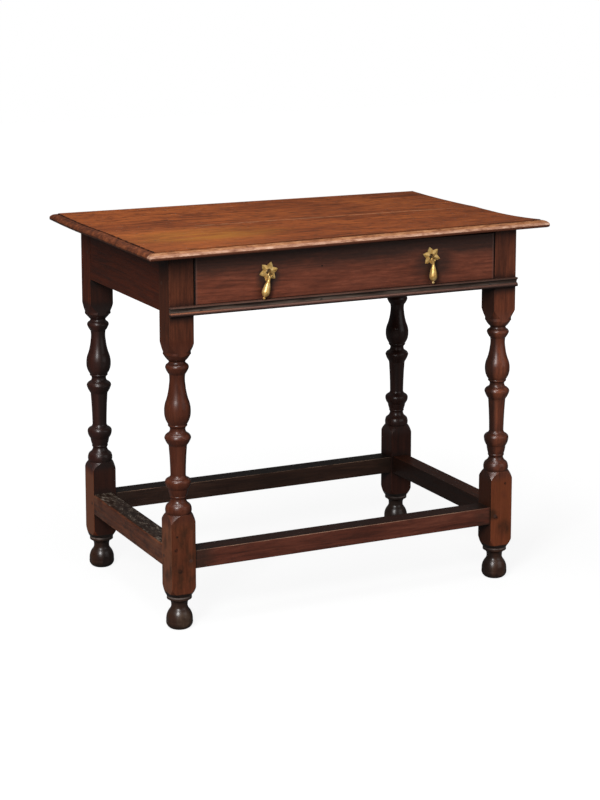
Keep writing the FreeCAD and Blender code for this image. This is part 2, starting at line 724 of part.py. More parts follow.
# ---------------------------------------------------------------- runners, guides, stops
def leg_blocks():
    return [
        box(
            side_x * INNER_X, side_x * FRAME_X, side_y * INNER_Y, side_y * FRAME_Y,
            APRON_BOTTOM - BIG, FRAME_HEIGHT,
        )
        for side_x, side_y in LEG_SIDES.values()
    ]


def runner(side, nails):
    """A drawer runner, let in round the legs."""
    inner = APRON_INNER_X - RUNNER_WIDTH
    board = box(side * inner, side * APRON_INNER_X, RAIL_BACK_Y, APRON_INNER_Y,
                RAIL_TOP - RUNNER_HEIGHT, RAIL_TOP)
    return cut_all(board, leg_blocks() + nails)


def guide(side, nails):
    board = box(side * INNER_X, side * APRON_INNER_X, -INNER_Y, INNER_Y, RAIL_TOP, RAIL_TOP + GUIDE_HEIGHT)
    return cut_all(board, nails)


def guide_nails():
    nails = []
    x = (INNER_X + APRON_INNER_X) / 2
    for side in (-1, 1):
        for share in (-0.7, 0.0, 0.7):
            head = Vector(side * x, share * INNER_Y, RAIL_TOP + GUIDE_HEIGHT)
            nails.append(nail(head, Vector(0, 0, -1), GUIDE_NAIL_LENGTH))
    return nails


def drawer_stops():
    """Two blocks on the front rail that the drawer front shuts against."""
    near = FRONT_INNER_Y + STOP_GAP
    blocks = []
    for side in (-1, 1):
        x = side * STOP_SPACING / 2
        x0 = x - STOP_LENGTH / 2
        x1 = x + STOP_LENGTH / 2
        blocks.append(box(x0, x1, near, near + STOP_DEPTH, RAIL_TOP, RAIL_TOP + STOP_HEIGHT))
    return blocks


# ---------------------------------------------------------------- drop handles
def polar(radius, angle, height=0.0):
    """A point of a plate round its middle, at a height in front of its back."""
    return Vector(radius * math.cos(angle), -height, radius * math.sin(angle))


def star_outline(turn):
    """Pointed petals, each with bowed sides, round the middle of a plate."""
    edges = []
    step = 2 * math.pi / PLATE_PETALS
    start = math.radians(turn)

    aside = PLATE_SHOULDER_SHARE * step
    for i in range(PLATE_PETALS):
        tip = start + i * step
        left = polar(PLATE_VALLEY_RADIUS, tip - step / 2)
        right = polar(PLATE_VALLEY_RADIUS, tip + step / 2)
        point = polar(PLATE_TIP_RADIUS, tip)
        edges.append(Part.Arc(left, polar(PLATE_SHOULDER_RADIUS, tip - aside), point).toShape())
        edges.append(Part.Arc(point, polar(PLATE_SHOULDER_RADIUS, tip + aside), right).toShape())
    return Part.Wire(edges)


def ridged_block(turn):
    """A block whose front is faceted: a ridge to every petal's tip, a valley between."""
    start = math.radians(turn)
    half_step = math.pi / PLATE_PETALS
    apex = polar(0.0, 0.0, PLATE_MIDDLE_THICKNESS)
    tip_fall = (PLATE_MIDDLE_THICKNESS - PLATE_TIP_THICKNESS) / PLATE_TIP_RADIUS
    valley_fall = (PLATE_MIDDLE_THICKNESS - PLATE_VALLEY_THICKNESS) / PLATE_VALLEY_RADIUS
    reach = 1.3 * PLATE_TIP_RADIUS
    front = []
    back = []
    for i in range(2 * PLATE_PETALS):
        fall = valley_fall if i % 2 else tip_fall
        front.append(polar(reach, start + i * half_step, PLATE_MIDDLE_THICKNESS - fall * reach))
        back.append(polar(reach, start + i * half_step, -BIG))
    faces = [Part.Face(Part.makePolygon(back + [back[0]]))]
    for i in range(2 * PLATE_PETALS):
        ahead = (i + 1) % (2 * PLATE_PETALS)
        faces.append(Part.Face(Part.makePolygon([apex, front[i], front[ahead], apex])))
        side = [front[i], back[i], back[ahead], front[ahead], front[i]]
        faces.append(Part.Face(Part.makePolygon(side)))
    return Part.Solid(Part.Shell(faces))


def handle_plate(x, z, turn):
    """A six-petalled star plate, ridged and with a domed boss, lying on the drawer front."""
    star = Part.Face(star_outline(turn)).extrude(Vector(0, -PLATE_MIDDLE_THICKNESS, 0))
    star = star.common(ridged_block(turn))
    dome_radius = (PLATE_BOSS_RADIUS ** 2 + PLATE_BOSS_RISE ** 2) / (2 * PLATE_BOSS_RISE)
    ball = Part.makeSphere(dome_radius)
    ball.translate(Vector(0, dome_radius - PLATE_BOSS_RISE - PLATE_BOSS_FOOT, 0))
    cap = ball.common(rod(PLATE_BOSS_RADIUS + 1, BIG, Vector(0, -PLATE_BOSS_FOOT, 0), Vector(0, -1, 0)))
    plate = star.fuse(cap).removeSplitter()
    plate.translate(Vector(x, DRAWER_FRONT_Y, z))
    return cut_all(plate, [pin_hole(x, z)])


def pin_hole(x, z):
    radius = PIN_SHANK_RADIUS + PIN_HOLE_CLEARANCE
    start = Vector(x, FRONT_INNER_Y + 1, z)
    return rod(radius, DRAWER_FRONT_THICKNESS + BIG, start, Vector(0, -1, 0))


def loop_centre(x, z):
    return Vector(x, DRAWER_FRONT_Y - PIN_STANDOFF, z)


def handle_pin(x, z):
    """A split pin: a loop outside, a shank through the front, and two clenched prongs."""
    centre = loop_centre(x, z)
    loop = Part.makeTorus(PIN_LOOP_RADIUS, PIN_WIRE_RADIUS, centre, Vector(1, 0, 0))
    shank_start = Vector(x, centre.y + PIN_LOOP_RADIUS - PIN_WIRE_RADIUS / 2, z)
    shank_end = FRONT_INNER_Y + PIN_WIRE_RADIUS
    shank = rod(PIN_SHANK_RADIUS, shank_end - shank_start.y, shank_start, Vector(0, 1, 0))
    prongs = rod(
        PIN_WIRE_RADIUS, 2 * PIN_PRONG_LENGTH, Vector(x - PIN_PRONG_LENGTH, shank_end, z), Vector(1, 0, 0)
    )
    return loop.fuse([shank, prongs]).removeSplitter()


def handle_drop(x, z, tilt):
    """A pear drop whose eye hangs in the loop of its pin."""
    centre = loop_centre(x, z)
    hang = PIN_LOOP_RADIUS - PIN_WIRE_RADIUS - DROP_EYE_WIRE - LINK_CLEARANCE
    eye_z = z - hang - DROP_EYE_RADIUS
    eye = Part.makeTorus(DROP_EYE_RADIUS, DROP_EYE_WIRE, Vector(x, centre.y, eye_z), Vector(0, 1, 0))
    neck_top = eye_z - DROP_EYE_RADIUS + DROP_EYE_WIRE / 3
    ball_rise = math.sqrt(DROP_BALL_RADIUS ** 2 - DROP_WAIST_RADIUS ** 2)
    ball_top = DROP_BALL_RADIUS + ball_rise - DROP_LENGTH
    steps = stretched(PEAR, 0.0, ball_top + DROP_WAIST_LENGTH)
    steps += [
        (DROP_WAIST_RADIUS, ball_top),
        (DROP_BALL_RADIUS, DROP_BALL_RADIUS - DROP_LENGTH, 0.0, -DROP_LENGTH),
        (0.0, 0.0),
    ]
    wire = outline_wire(steps, lambda r, w: Vector(x + r, centre.y, neck_top + w))
    pear = Part.Face(wire).revolve(Vector(x, centre.y, 0), Vector(0, 0, 1), 360)
    drop = pear.fuse(eye).removeSplitter()
    wire_bottom = Vector(x, centre.y, z - PIN_LOOP_RADIUS)
    drop.rotate(wire_bottom, Vector(0, 1, 0), tilt)
    return drop


# ---------------------------------------------------------------- assembly
os.makedirs("parts", exist_ok=True)
front_board = Board(TOP_JOINT_Y, TOP_FRONT_Y, FRONT_BOARD_WARP)
back_board = Board(TOP_JOINT_Y, TOP_BACK_Y, BACK_BOARD_WARP)
TOP_PEGS = [top_peg(place) for place in top_pegs(front_board, back_board)]
APRON_PEGS, STRETCHER_PEGS = frame_pegs()
FRAME_PEGS = APRON_PEGS + STRETCHER_PEGS

RAILS = {
    "left_apron": side_apron(-1),
    "right_apron": side_apron(1),
    "back_apron": back_apron(),
    "front_rail": front_rail(),
    "front_stretcher": long_stretcher(-1, FRONT_STRETCHER_BOTTOM),
    "back_stretcher": long_stretcher(1, BACK_STRETCHER_BOTTOM),
    "left_stretcher": side_stretcher(
        -1, LEFT_STRETCHER_BOTTOM, LEFT_STRETCHER_HEIGHT, LEFT_STRETCHER_SETBACK,
    ),
    "right_stretcher": side_stretcher(
        1, RIGHT_STRETCHER_BOTTOM, RIGHT_STRETCHER_HEIGHT, RIGHT_STRETCHER_SETBACK,
    ),
}
TENONS = [tenon for body, tenons in RAILS.values() for tenon in tenons]
STRIP_NAILS = strip_nails()
GUIDE_NAILS = guide_nails()
DRAWER_NAILS = drawer_nails()

save("top_front_board", cut_all(front_board.solid(), TOP_PEGS))
save("top_back_board", cut_all(back_board.solid(), TOP_PEGS))
save("top_pegs", Part.makeCompound(TOP_PEGS))

for leg_name in LEG_SIDES:
    save(leg_name + "_leg", leg(leg_name))

for rail_name, (rail_body, rail_tenons) in RAILS.items():
    rail = rail_body.fuse(rail_tenons).removeSplitter()
    save(rail_name, cut_all(rail, FRAME_PEGS + TOP_PEGS + STRIP_NAILS))

save("apron_pegs", Part.makeCompound(APRON_PEGS))
save("stretcher_pegs", Part.makeCompound(STRETCHER_PEGS))

strip = Part.makeLoft([strip_section(-FRAME_X), strip_section(FRAME_X)], True, True)
save("rail_moulding", cut_all(strip, STRIP_NAILS))
save("moulding_nails", Part.makeCompound(STRIP_NAILS))

for side_name, side_sign in (("left", -1), ("right", 1)):
    save(side_name + "_drawer_runner", runner(side_sign, GUIDE_NAILS))
    save(side_name + "_drawer_guide", guide(side_sign, GUIDE_NAILS))
    save("drawer_" + side_name + "_side", drawer_side(side_sign, DRAWER_NAILS))
save("guide_nails", Part.makeCompound(GUIDE_NAILS))
save("drawer_stops", Part.makeCompound(drawer_stops()))

HANDLES = {
    "left": (LEFT_HANDLE_X, RAIL_TOP + LEFT_HANDLE_RISE, LEFT_PLATE_TURN, LEFT_DROP_TILT),
    "right": (RIGHT_HANDLE_X, RAIL_TOP + RIGHT_HANDLE_RISE, RIGHT_PLATE_TURN, 0.0),
}
pin_holes = [pin_hole(x, z) for x, z, turn, tilt in HANDLES.values()]
save("drawer_front", drawer_front(pin_holes + DRAWER_NAILS))
save("drawer_back", drawer_back(DRAWER_NAILS))
save("drawer_bottom", cut_all(bottom_board_space(0.0), DRAWER_NAILS))
save("drawer_nails", Part.makeCompound(DRAWER_NAILS))

for side_name, (handle_x, handle_z, plate_turn, drop_tilt) in HANDLES.items():
    save(side_name + "_handle_plate", handle_plate(handle_x, handle_z, plate_turn))
    save(side_name + "_handle_pin", handle_pin(handle_x, handle_z))
    save(side_name + "_handle_drop", handle_drop(handle_x, handle_z, drop_tilt))
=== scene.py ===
import bpy
import math
from mathutils import Matrix, Vector

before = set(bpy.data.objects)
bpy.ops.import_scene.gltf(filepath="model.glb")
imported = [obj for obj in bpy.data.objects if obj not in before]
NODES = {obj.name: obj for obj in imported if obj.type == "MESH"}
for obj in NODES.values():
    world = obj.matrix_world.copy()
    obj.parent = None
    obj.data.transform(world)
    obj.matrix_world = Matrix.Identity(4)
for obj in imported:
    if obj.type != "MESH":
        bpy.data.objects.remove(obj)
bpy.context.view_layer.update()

# ---------------------------------------------------------------- camera
LENS_PIXELS = 2029.3       # focal length, in pixels of the picture
IMAGE_HEIGHT = 800         # pixels
SENSOR = 36.0              # mm, along the picture's height
EYE = Vector((-1.7149, -3.5287, 1.2873))
YAW = 0.4543               # radians from +Y towards +X
PITCH = 0.1654             # radians below level
SHIFT_Y = -0.175           # picture heights
NEAR_CLIP = 0.1

# ---------------------------------------------------------------- floor, world and lamps
FLOOR_SIZE = 9.0           # m, from the middle to each side
FLOOR_GREY = 0.10          # takes the table's shadow
FLOOR_ROUGHNESS = 0.9
FLOOR_NEAR, FLOOR_FAR = 0.7, 1.8         # m from the table's middle
FLOOR_NEAR_GLOW, FLOOR_FAR_GLOW = 0.9, 1.0   # seen by the camera, at those two distances
FLOOR_MIRRORED = 0.04      # seen in reflections
WORLD_SEEN = 1.0           # by the camera
WORLD_MIRRORED = 0.08      # in reflections and through glass
WORLD_LIGHT = 0.05         # as a light

# Name: place, aim, width and height in metres, watts, and whether it shows in reflections.
LAMPS = {
    "overhead": ((-0.5, -0.4, 2.6), (-0.1, -0.1, 0.5), (1.6, 1.2), 43.0, True),
    "key": ((-2.05, -2.25, 2.1), (0.0, 0.0, 0.45), (0.8, 1.5), 100.0, True),
    "fill": ((1.8, -2.8, 1.3), (0.0, 0.0, 0.45), (2.4, 2.2), 16.0, True),
    "back": ((1.9, 2.7, 0.9), (0.0, 0.0, 0.4), (2.4, 1.2), 34.0, False),
}

# ---------------------------------------------------------------- places of the marks
# Metres in the table's frame. A height, distance or span is given from where a mark begins to where
# it is full, a band by its two edges.
FRONT_Y = -0.228                         # the front faces of the legs and of the drawer
PINS = ((-0.167, 0.6575), (0.174, 0.661))    # x and z of the handles' pins
PIN_Y = -0.2315
PIN_EYE_Y = (-0.2345, -0.2325)           # the pin's eye in front of its plate

END_MOULDING = (0.3985, 0.4015)          # |x|
END_QUIRK = (0.3993, 0.4012)             # |x|
OUTER_END_QUIRK = (0.4070, 0.4080)       # |x|
SIDE_QUIRK = (0.2521, 0.2536)            # |y|
BOARD_JOINT = (-0.0096, -0.0064)         # y
PALE_JOINT = (-0.17, 0.30)               # x
FRONT_MOULDING = (-0.2536, -0.2550)      # y
GOLD_PATCH = (-0.245, -0.115, 0.71)
LEFT_OF_TOP = (-0.05, -0.25)             # x
LEFT_OF_EDGE = (-0.10, -0.40)            # x

DRAWER_TOP_DIRT_AND_SHADE = (0.636, 0.684)
LEFT_HANDLE_DIRT = (-0.167, FRONT_Y, 0.6525)
RIGHT_HANDLE_DIRT = (0.182, FRONT_Y, 0.6565)
DRAWER_MIDDLE_X = 0.0004
DRAWER_ARRIS = (0.3090, 0.3108)          # |x| from the drawer's middle
DRAWER_END = (0.3110, 0.3120)            # |x| from the drawer's middle
OLD_NAIL_HOLE = (-0.0576, FRONT_Y, 0.660)

STRIP_UNDERSIDE = (0.5932, 0.5918)
STRIP_BEAD = (0.597, 0.5955)
BEAD_HIGHLIGHT = (0.5950, 0.5972)
STRIP_HOLLOW = (0.5955, 0.598)
STRIP_GROOVE = (0.6026, 0.6044)
STRIP_FILLET = (0.6046, 0.6054)
STRIP_RIGHT = (0.05, 0.36)               # x
STRIP_LEFT = (-0.20, -0.34)              # x

FOOT = (0.0715, 0.0675)
FOOT_NECK = (0.0648, 0.0688)
FOOT_RIM_HIGHLIGHT = (0.0607, 0.0622)
ABOVE_LOWER_BLOCK = (0.194, 0.214)       # where the wax gets thicker
BELOW_UPPER_BLOCK = (0.548, 0.526)
TURNED_FROM = (0.200, 0.212)             # where the turned tone sets in
TURNED_TO = (0.552, 0.538)
LOWER_BLOCK_LIT = (0.215, 0.195)
LOWER_BLOCK_SMUDGES = (0.225, 0.195)
LOWER_BLOCK_SIDE = (0.205, 0.190)
UPPER_BLOCK_SIDE = (0.53, 0.56)
# the leg's upper part, darkened with dirt and painted shade
LEG_TOP_DIRT_AND_SHADE = (0.625, 0.685)
UNDER_STRIP = (0.570, 0.586)
UNDER_STRIP_END = (0.5895, 0.5885)

STRETCHER_ENDS = (0.262, 0.300)          # |x|
LEFT_STRETCHER_FRONT = (-0.06, -0.16)    # y
LEFT_STRETCHER_BACK = (0.08, 0.16)       # y


# ---------------------------------------------------------------- colours
def linear(red, green, blue):
    """A colour given as 0-255 screen values, as Blender's linear values."""
    out = []
    for value in (red, green, blue):
        value = value / 255
        out.append(value / 12.92 if value <= 0.04045 else ((value + 0.055) / 1.055) ** 2.4)
    return (*out, 1.0)


# A dark brown laid on the legs as painted shade.
PAINTED_SHADE = linear(30, 19, 15)


# ---------------------------------------------------------------- node materials
class Graph:
    """A node material, built one step at a time."""

    def __init__(self, name):
        self.material = bpy.data.materials.new(name)
        self.material.use_nodes = True
        self.tree = self.material.node_tree
        self.shader = self.tree.nodes["Principled BSDF"]
        self.place = self.node("ShaderNodeTexCoord").outputs["Object"]

    def node(self, kind, settings=None, **inputs):
        node = self.tree.nodes.new(kind)
        for key, value in (settings or {}).items():
            setattr(node, key, value)
        for key, value in inputs.items():
            self.feed(node.inputs[key.replace("_", " ")], value)
        return node

    def feed(self, socket, value):
        if isinstance(value, bpy.types.NodeSocket):
            self.tree.links.new(value, socket)
        else:
            socket.default_value = value

    def mapped(self, vector, location=(0, 0, 0), rotation=(0, 0, 0), scale=(1, 1, 1)):
        node = self.node("ShaderNodeMapping", Vector=vector, Location=location,
                         Rotation=rotation, Scale=scale)
        return node.outputs[0]

    def noise(self, vector, scale, detail=2.0, roughness=0.5, distortion=0.0, output="Fac"):
        """Noise that repeats about every 1 / scale metres along each axis of the given vector."""
        node = self.node("ShaderNodeTexNoise", Vector=self.mapped(vector, scale=scale), Scale=1.0,
                         Detail=detail, Roughness=roughness, Distortion=distortion)
        return node.outputs[output]

    def math(self, operation, a, b=0.0, clamp=False):
        node = self.tree.nodes.new("ShaderNodeMath")
        node.operation = operation
        node.use_clamp = clamp
        self.feed(node.inputs[0], a)
        self.feed(node.inputs[1], b)
        return node.outputs[0]

    def times(self, a, b):
        return self.math("MULTIPLY", a, b)

    def plus(self, a, b):
        return self.math("ADD", a, b)

    def product(self, *factors):
        """A product kept within 0 to 1."""
        result = factors[0]
        for factor in factors[1:]:
            result = self.math("MULTIPLY", result, factor, clamp=True)
        return result

    def vector(self, operation, a, b, output=0):
        node = self.tree.nodes.new("ShaderNodeVectorMath")
        node.operation = operation
        self.feed(node.inputs[0], a)
        self.feed(node.inputs[1], b)
        return node.outputs[output]

    def length(self, vector):
        return self.vector("LENGTH", vector, (0, 0, 0), 1)

    def span(self, value, low, high, to_low=0.0, to_high=1.0, smooth=False):
        """The value brought from low..high to to_low..to_high, and held at their ends."""
        node = self.tree.nodes.new("ShaderNodeMapRange")
        node.interpolation_type = "SMOOTHSTEP" if smooth else "LINEAR"
        for socket, number in zip(node.inputs[:5], (value, low, high, to_low, to_high)):
            self.feed(socket, number)
        return node.outputs[0]

    def band(self, value, low, high, fade):
        """1 between two values, fading to 0 beyond them."""
        rise = self.span(value, low - fade, low, smooth=True)
        return self.times(rise, self.span(value, high + fade, high, smooth=True))

    def swing(self, noise, reach):
        """Noise turned into a shift to both sides, half of reach at most."""
        return self.times(self.math("SUBTRACT", noise, 0.5), reach)

    def mix(self, share, a, b):
        node = self.tree.nodes.new("ShaderNodeMix")
        node.data_type = "RGBA"
        self.feed(node.inputs[0], share)
        self.feed(node.inputs[6], a)
        self.feed(node.inputs[7], b)
        return node.outputs[2]

    def stain(self, colour, where, tone, share=1.0):
        """A tone laid over the colour where the mask is 1, up to a share."""
        return self.mix(self.product(where, share), colour, tone)

    def ramp(self, value, *stops):
        """Tones along a value, each stop being a position and red, green and blue of 0-255."""
        node = self.tree.nodes.new("ShaderNodeValToRGB")
        elements = node.color_ramp.elements
        while len(elements) < len(stops):
            elements.new(0.5)
        for element, (position, *tone) in zip(elements, stops):
            element.position = position
            element.color = linear(*tone)
        self.feed(node.inputs[0], value)
        return node.outputs[0]

    def bump(self, height, distance, strength=1.0, normal=None):
        node = self.node("ShaderNodeBump", Height=height, Distance=distance, Strength=strength)
        if normal is not None:
            self.feed(node.inputs["Normal"], normal)
        return node.outputs[0]

    def worn_edges(self, radius):
        """1 on outer arrises, 0 on flat faces."""
        bevel = self.node("ShaderNodeBevel", {"samples": 6}, Radius=radius).outputs[0]
        normal = self.node("ShaderNodeNewGeometry").outputs["Normal"]
        return self.span(self.vector("DOT_PRODUCT", bevel, normal, 1), 0.995, 0.86)

    def hollows(self, distance, deepest=0.35):
        """1 in corners and hollows, 0 in the open."""
        shade = self.node("ShaderNodeAmbientOcclusion", {"samples": 6}, Distance=distance)
        return self.span(shade.outputs["AO"], 0.92, deepest)

    def along(self, axis):
        """The place on the table along one axis, in metres."""
        return self.node("ShaderNodeSeparateXYZ", Vector=self.place).outputs[axis]

    def away_from_middle(self, axis):
        return self.math("ABSOLUTE", self.along(axis))

    def height(self, low, high):
        """0 at one height and 1 at the other."""
        return self.span(self.along("Z"), low, high, smooth=True)

    def normal(self):
        return self.node("ShaderNodeTexCoord").outputs["Normal"]

    def facing(self, axis):
        """How far the surface faces along one axis, -1 to 1."""
        return self.node("ShaderNodeSeparateXYZ", Vector=self.normal()).outputs[axis]

    def left_faces(self):
        """1 on faces that look to the table's left end."""
        return self.span(self.facing("X"), -0.6, -0.9)

    def inner_faces(self):
        """1 on faces that look towards the middle of the table, 0 on the outer ones."""
        level = self.vector("MULTIPLY", self.place, (1.0, 1.0, 0.0))
        outwards = self.vector("NORMALIZE", level, (0, 0, 0))
        return self.span(self.vector("DOT_PRODUCT", self.normal(), outwards, 1), 0.12, -0.42, smooth=True)

    def turned_parts(self):
        """1 on the turned parts of a leg and its foot, 0 on its square blocks."""
        between = self.product(self.height(*ABOVE_LOWER_BLOCK), self.height(*BELOW_UPPER_BLOCK))
        return self.math("MAXIMUM", between, self.height(*FOOT))

    def ball(self, centre, inner, outer, squash=(1.0, 1.0, 1.0)):
        """1 within a distance of a point, fading to 0 at a larger one."""
        away = self.vector("MULTIPLY", self.vector("SUBTRACT", self.place, centre), squash)
        return self.span(self.length(away), outer, inner, smooth=True)

    def finish(self, colour, roughness, normal):
        self.feed(self.shader.inputs["Base Color"], colour)
        self.feed(self.shader.inputs["Roughness"], roughness)
        self.feed(self.shader.inputs["Normal"], normal)
        return self.material


# ---------------------------------------------------------------- oak
# Mapping rotations that bring the grain of a piece onto the texture's X axis.
GRAIN_TURN = {
    "x": (0.0, 0.0, 0.0),
    "y": (0.0, 0.0, math.radians(-90)),
    "z": (0.0, math.radians(90), 0.0),
}
# What a look can set, and what holds where it doesn't.
PLAIN_LOOK = {
    "fineness": 1.0,               # of the streaks
    "contrast": 1.0,               # of the tones
    "patches": 0.35,               # of lighter and darker areas
    "flecks": 0.0,                 # share of short dark flecks
    "fleck_size": (26, 105, 105),  # their number to a metre, along and across the grain
    "rough": 0.42,
    "relief": 0.5,                 # depth of the fibres and pores
    "wax": 0.3,                    # shine of the wax
    "wax_rough": 0.24,
    "darkened_hollows": 0.85,                 # share of dirt and painted shade in the hollows
    "deepest": 0.35,               # openness at which a hollow is full of dirt and painted shade
    "inside": 0.0,                 # share of dirt and painted shade on faces that look to the table's middle
    "turned": False,               # thin wax on the blocks, thick on the turned parts and on what looks up
}
BLOCK_WAX = 0.12                   # wax on the blocks of a turned piece, as a share of its own
FLAT_SPECULAR, TURNED_SPECULAR = 0.2, 0.14
ARRIS_RADIUS = 0.0022
ARRIS_WEAR = 0.7
CORNER_REACH = 0.016               # how far the dirt and painted shade of a corner reach


def oak(name, grain, seed, tones, look, marks):
    """Old waxed oak: figure, streaks, fibres and pores along the grain, worn arrises, dirt and painted shade
    in corners and on inner faces.
    """
    dark, middle, light, worn, dirt = tones
    look = {**PLAIN_LOOK, **look}
    g = Graph(name)
    p = g.mapped(g.place, (seed * 3.17, seed * 1.31, seed * 2.23), GRAIN_TURN[grain])
    drift = g.vector("SUBTRACT", g.noise(p, (2.2, 7, 7), 1.0, output="Color"), (0.5, 0.5, 0.5))
    p = g.vector("ADD", p, g.vector("MULTIPLY", drift, (0.0, 0.016, 0.016)))

    patch = g.noise(p, (4.5, 14, 14))
    streak = g.noise(p, [look["fineness"] * scale for scale in (7, 120, 120)], 3.0, 0.62)
    fibre = g.noise(p, (38, 760, 760), 2.0, 0.6)
    rings = g.math("PINGPONG", g.times(g.noise(p, (2.2, 34, 34), 1.0, 0.5, 0.4), 9.0), 0.5)
    pores = g.span(g.noise(p, (210, 1900, 1900), 1.0), 0.60, 0.72)

    tone = g.times(g.span(streak, 0.3, 0.7), 0.46)
    tone = g.plus(tone, g.times(g.span(rings, 0.0, 0.5), 0.24))
    tone = g.plus(tone, g.times(g.span(fibre, 0.3, 0.7), 0.30))
    tone = g.span(tone, 0.0, 1.0, 0.5 - 0.5 * look["contrast"], 0.5 + 0.5 * look["contrast"])
    tone = g.plus(tone, g.swing(patch, 2.2 * look["patches"]))
    colour = g.ramp(tone, (0.12, *dark), (0.5, *middle), (0.88, *light))
    if look["flecks"]:
        fleck = g.noise(p, look["fleck_size"], 4.0, 0.68)
        colour = g.mix(g.span(fleck, 0.50, 0.68, 0.0, look["flecks"]), colour, linear(*dark))
    colour = g.stain(colour, pores, linear(*dark), 0.45)

    scuff = g.noise(g.place, (60, 60, 60), 3.0, 0.6)
    wear = g.times(g.worn_edges(ARRIS_RADIUS), g.span(scuff, 0.3, 0.65))
    colour = g.stain(colour, wear, linear(*worn), ARRIS_WEAR)
    # Dirt and painted shade gathered in corners and hollows.
    darkened_hollows = g.times(g.hollows(CORNER_REACH, look["deepest"]), g.span(scuff, 0.25, 0.6, 0.55, 1.0))
    colour = g.stain(colour, darkened_hollows, linear(*dirt), look["darkened_hollows"])
    if marks is not None:
        colour = marks(g, p, colour)
    # Dirt and painted shade on the faces that look to the table's middle.
    if look["inside"]:
        colour = g.stain(colour, g.inner_faces(), linear(*dirt), look["inside"])

    roughness = g.span(streak, 0.3, 0.75, look["rough"] - 0.06, look["rough"] + 0.1)
    roughness = g.plus(roughness, g.times(darkened_hollows, 0.2))
    smooth = g.bump(g.noise(p, (9, 24, 24), 1.0), 0.004, 0.22)
    dents = g.plus(g.times(streak, 0.5), g.times(fibre, 0.3))
    dents = g.math("SUBTRACT", dents, g.times(pores, 0.5))
    wax = look["wax"]
    if look["turned"]:
        wax = g.span(g.turned_parts(), 0.0, 1.0, BLOCK_WAX * wax, wax)
        wax = g.math("MAXIMUM", wax, g.span(g.facing("Z"), 0.25, 0.55, smooth=True))
    g.feed(g.shader.inputs["Coat Weight"], wax)
    g.shader.inputs["Coat Roughness"].default_value = look["wax_rough"]
    g.feed(g.shader.inputs["Coat Normal"], smooth)
    specular = TURNED_SPECULAR if look["turned"] else FLAT_SPECULAR
    g.shader.inputs["Specular IOR Level"].default_value = specular
    return g.finish(colour, roughness, g.bump(dents, 0.0007, look["relief"], smooth))


# ---------------------------------------------------------------- marks of one piece each
def board_marks(g, p, colour):
    """Moulded ends gone dark and uneven, dirt and painted shade in the quirks all round, and the joint
    between the boards.
    """
    across = g.away_from_middle("X")
    ragged = g.noise(g.place, (90, 70, 90), 4.0, 0.68)
    shade = g.ramp(ragged, (0.34, 54, 27, 17), (0.5, 84, 43, 26), (0.68, 118, 66, 40))
    colour = g.stain(colour, g.span(across, *END_MOULDING, smooth=True), shade, 0.9)
    # Dirt and painted shade in the quirks.
    sides = g.times(g.band(g.away_from_middle("Y"), *SIDE_QUIRK, 0.0010), 0.45)
    ends = g.plus(g.band(across, *END_QUIRK, 0.0012), g.times(g.band(across, *OUTER_END_QUIRK, 0.0008), 0.5))
    quirk = g.math("MAXIMUM", ends, sides)
    colour = g.stain(colour, g.product(quirk, g.span(ragged, 0.66, 0.40)), linear(44, 23, 14))

    joint = g.band(g.along("Y"), *BOARD_JOINT, 0.0008)
    broken = g.span(g.noise(g.place, (60, 8, 8), 3.0, 0.6), 0.34, 0.5)
    pale = g.band(g.along("X"), *PALE_JOINT, 0.08)
    line = g.mix(pale, linear(62, 30, 16), linear(168, 122, 88))
    return g.stain(colour, g.product(joint, broken), line, 0.8)


def front_board_marks(g, p, colour):
    """A gold patch where the finish has thinned, and a front edge that hands have worn pale, with painted
    light on its nose and painted shade under it and along its left part.
    """
    ragged = g.noise(p, (9, 46, 46), 4.0, 0.62)
    patch = g.ball(GOLD_PATCH, 0.02, 0.17, (0.8, 1.7, 1.0))
    colour = g.stain(colour, g.product(patch, g.span(ragged, 0.3, 0.62)), linear(150, 98, 34), 0.9)
    worn = g.span(g.along("X"), *LEFT_OF_TOP, 0.0, 0.2, smooth=True)
    colour = g.mix(worn, colour, linear(168, 96, 48))
    colour = board_marks(g, p, colour)

    ragged = g.noise(g.place, (55, 170, 170), 5.0, 0.7)
    front = g.span(g.plus(g.along("Y"), g.swing(ragged, 0.004)), *FRONT_MOULDING, smooth=True)
    up = g.plus(g.facing("Z"), g.swing(ragged, 0.5))
    # Worn pale wood with painted light on the nose that faces the front.
    bleached_and_lit = g.ramp(ragged, (0.32, 112, 72, 54), (0.46, 160, 116, 92), (0.58, 190, 150, 126),
                      (0.72, 214, 182, 160))
    waxed = g.ramp(ragged, (0.34, 98, 56, 34), (0.52, 150, 100, 66), (0.7, 182, 136, 100))
    edge = g.mix(g.span(up, 0.62, 0.82, smooth=True), bleached_and_lit, waxed)
    # Painted shade on the underside of the nose and along the edge's left part.
    edge = g.mix(g.span(up, 0.14, -0.04, smooth=True), edge, linear(112, 64, 46))
    shaded = g.span(g.along("X"), *LEFT_OF_EDGE, 0.0, 0.12, smooth=True)
    edge = g.mix(shaded, edge, linear(70, 40, 30))
    return g.stain(colour, front, edge, 0.92)


